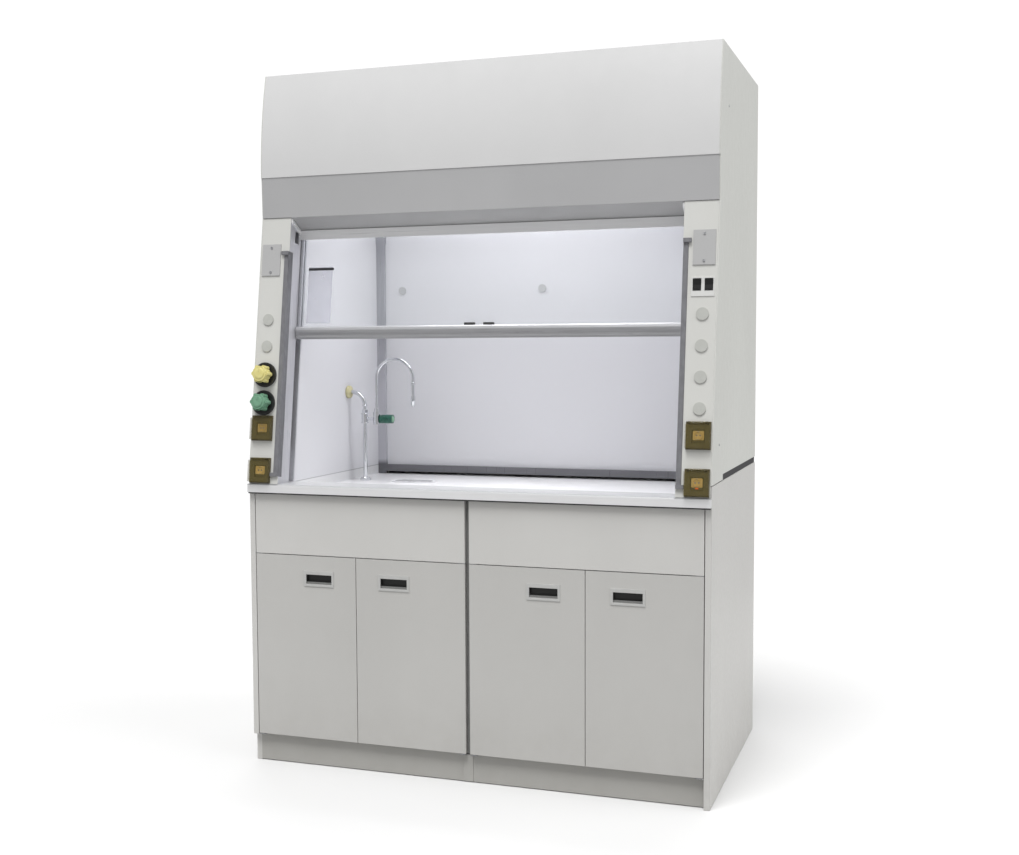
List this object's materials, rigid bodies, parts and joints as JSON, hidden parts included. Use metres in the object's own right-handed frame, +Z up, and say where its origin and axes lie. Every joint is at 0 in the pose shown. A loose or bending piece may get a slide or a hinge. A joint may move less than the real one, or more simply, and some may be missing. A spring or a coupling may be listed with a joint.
{
  "type": "fume hood",
  "caption": "Bench fume hood with a leaning front, a counterbalanced glass sash, a dished worktop with a tap and cup sink, and two base cabinets with hinged doors.",
  "frame": {"origin": "centre of the footprint on the floor, below the middle of the overall box", "axes": "+Z up, +X to the right seen from the front, +Y to the rear; the user stands on the -Y side"},
  "size_m": [1.5032, 0.8974, 2.3],
  "materials": {
    "cabinet_board": "satin",
    "white_coat": "satin",
    "band_coat": "satin",
    "worktop_ceramic": "gloss",
    "liner_resin": "satin",
    "lamp_white": "satin",
    "diffuser": "matte",
    "profile_aluminium": "satin",
    "grey_aluminium": "satin",
    "dark_rubber": "matte",
    "sash_glass": "polished",
    "belt_rubber": "matte",
    "bright_steel": "satin",
    "pull_steel": "satin",
    "weight_iron": "matte",
    "galvanised": "satin",
    "plate_plastic": "satin",
    "black_plastic": "satin",
    "outlet_brown": "satin",
    "cover_amber": "gloss",
    "knob_yellow": "gloss",
    "knob_green": "gloss",
    "handle_green": "gloss",
    "tap_chrome": "polished",
    "valve_brass": "satin",
    "sink_plastic": "satin"
  },
  "bodies": {
    "hood": {"cabinets": "cabinet_board", "end_panels": "cabinet_board", "toe_kick": "cabinet_board", "levelling_feet": "dark_rubber", "aprons": "cabinet_board", "gap_seals": "dark_rubber", "shelves": "cabinet_board", "hinge_brackets": "bright_steel", "worktop": "worktop_ceramic", "cup_sink": "sink_plastic", "columns": "white_coat", "sash_tracks": "profile_aluminium", "jamb_edges": "dark_rubber", "side_skins": "white_coat", "side_liners": "liner_resin", "baffles": "liner_resin", "baffle_frame": "grey_aluminium", "back_panel": "white_coat", "roof_panel": "white_coat", "duct_collar": "galvanised", "ceiling_liner": "liner_resin", "lamp": "lamp_white", "lamp_diffuser": "diffuser", "header_panel": "white_coat", "header_band": "band_coat", "lintel": "profile_aluminium", "drive_belts": "belt_rubber", "drive_plates": "bright_steel", "blank_covers": "plate_plastic", "screws": "bright_steel", "control_bezels": "black_plastic", "outlet_bases": "outlet_brown", "service_valves": "valve_brass", "tap_body": "tap_chrome"},
    "sash": {"sash_frame": "profile_aluminium", "sash_handle": "grey_aluminium", "sash_glass": "sash_glass", "sash_grips": "dark_rubber", "belt_clamps": "bright_steel"},
    "weights": {"counterweights": "weight_iron"},
    "shaft": {"drive_shaft": "bright_steel"},
    "idler_pair": {"idlers": "bright_steel"},
    "door_outer_left": {"door_outer_left": "cabinet_board", "pull_outer_left": "pull_steel"},
    "door_inner_left": {"door_inner_left": "cabinet_board", "pull_inner_left": "pull_steel"},
    "cover_lower_left": {"cover_lower_left": "cover_amber"},
    "cover_upper_left": {"cover_upper_left": "cover_amber"},
    "door_outer_right": {"door_outer_right": "cabinet_board", "pull_outer_right": "pull_steel"},
    "door_inner_right": {"door_inner_right": "cabinet_board", "pull_inner_right": "pull_steel"},
    "cover_lower_right": {"cover_lower_right": "cover_amber"},
    "cover_upper_right": {"cover_upper_right": "cover_amber"},
    "rocker_fan": {"rocker_fan": "black_plastic"},
    "rocker_light": {"rocker_light": "black_plastic"},
    "knob_gas": {"knob_gas": "knob_yellow"},
    "knob_water": {"knob_water": "knob_green"},
    "tap_handle": {"tap_handle": "handle_green"},
    "tap_spout": {"tap_spout": "tap_chrome"}
  },
  "joints": [
    {"name": "sash_slide", "type": "slide", "parent": "hood", "child": "sash", "axis": [0, 0.1409, 0.99], "range_m": [-0.4676, 0]},
    {"name": "weight_slide", "type": "slide", "parent": "hood", "child": "weights", "axis": [0, 0.1409, 0.99], "range_m": [-0.0005, 0.4681]},
    {"name": "shaft_turn", "type": "hinge", "parent": "hood", "child": "shaft", "pos_m": [0, -0.11352, 2.16065], "axis": [1, 0, 0], "range_deg": [-1, 579.7]},
    {"name": "idler_turn", "type": "hinge", "parent": "hood", "child": "idler_pair", "pos_m": [0, -0.28326, 0.96794], "axis": [1, 0, 0], "range_deg": [-1, 579.7]},
    {"name": "outer_left_hinge", "type": "hinge", "parent": "hood", "child": "door_outer_left", "pos_m": [-0.7175, -0.41432, 0.39], "axis": [0, 0, -1], "range_deg": [0, 110]},
    {"name": "inner_left_hinge", "type": "hinge", "parent": "hood", "child": "door_inner_left", "pos_m": [-0.019, -0.41432, 0.39], "axis": [0, 0, 1], "range_deg": [0, 90]},
    {"name": "lower_left_cover_hinge", "type": "hinge", "parent": "hood", "child": "cover_lower_left", "pos_m": [-0.708, -0.42791, 0.99701], "axis": [-1, 0, 0], "range_deg": [0, 90]},
    {"name": "upper_left_cover_hinge", "type": "hinge", "parent": "hood", "child": "cover_upper_left", "pos_m": [-0.708, -0.4087, 1.13201], "axis": [-1, 0, 0], "range_deg": [0, 90]},
    {"name": "outer_right_hinge", "type": "hinge", "parent": "hood", "child": "door_outer_right", "pos_m": [0.7175, -0.41432, 0.39], "axis": [0, 0, 1], "range_deg": [0, 110]},
    {"name": "inner_right_hinge", "type": "hinge", "parent": "hood", "child": "door_inner_right", "pos_m": [0.019, -0.41432, 0.39], "axis": [0, 0, -1], "range_deg": [0, 90]},
    {"name": "lower_right_cover_hinge", "type": "hinge", "parent": "hood", "child": "cover_lower_right", "pos_m": [0.708, -0.42791, 0.99701], "axis": [-1, 0, 0], "range_deg": [0, 90]},
    {"name": "upper_right_cover_hinge", "type": "hinge", "parent": "hood", "child": "cover_upper_right", "pos_m": [0.708, -0.4087, 1.13201], "axis": [-1, 0, 0], "range_deg": [0, 90]},
    {"name": "rocker_fan_tilt", "type": "hinge", "parent": "hood", "child": "rocker_fan", "pos_m": [0.6895, -0.33814, 1.52844], "axis": [-1, 0, 0], "range_deg": [0, 16]},
    {"name": "rocker_light_tilt", "type": "hinge", "parent": "hood", "child": "rocker_light", "pos_m": [0.7245, -0.33814, 1.52844], "axis": [-1, 0, 0], "range_deg": [0, 16]},
    {"name": "knob_gas_turn", "type": "hinge", "parent": "hood", "child": "knob_gas", "pos_m": [-0.708, -0.39947, 1.26782], "axis": [0, -0.99, 0.1409], "range_deg": [0, 90]},
    {"name": "knob_water_turn", "type": "hinge", "parent": "hood", "child": "knob_water", "pos_m": [-0.708, -0.41228, 1.17782], "axis": [0, -0.99, 0.1409], "range_deg": [0, 180]},
    {"name": "tap_handle_turn", "type": "hinge", "parent": "hood", "child": "tap_handle", "pos_m": [-0.5, 0.09868, 1.1], "axis": [1, 0, 0], "range_deg": [0, 90]},
    {"name": "spout_swivel", "type": "hinge", "parent": "hood", "child": "tap_spout", "pos_m": [-0.533, 0.09868, 1.13], "axis": [0, 0, 1], "range_deg": [-90, 90]}
  ],
  "couplings": [
    {"joint": "weight_slide", "follows": "sash_slide", "ratio": -1},
    {"joint": "shaft_turn", "follows": "sash_slide", "rad_per_m": -21.598},
    {"joint": "idler_turn", "follows": "sash_slide", "rad_per_m": -21.598}
  ]
}
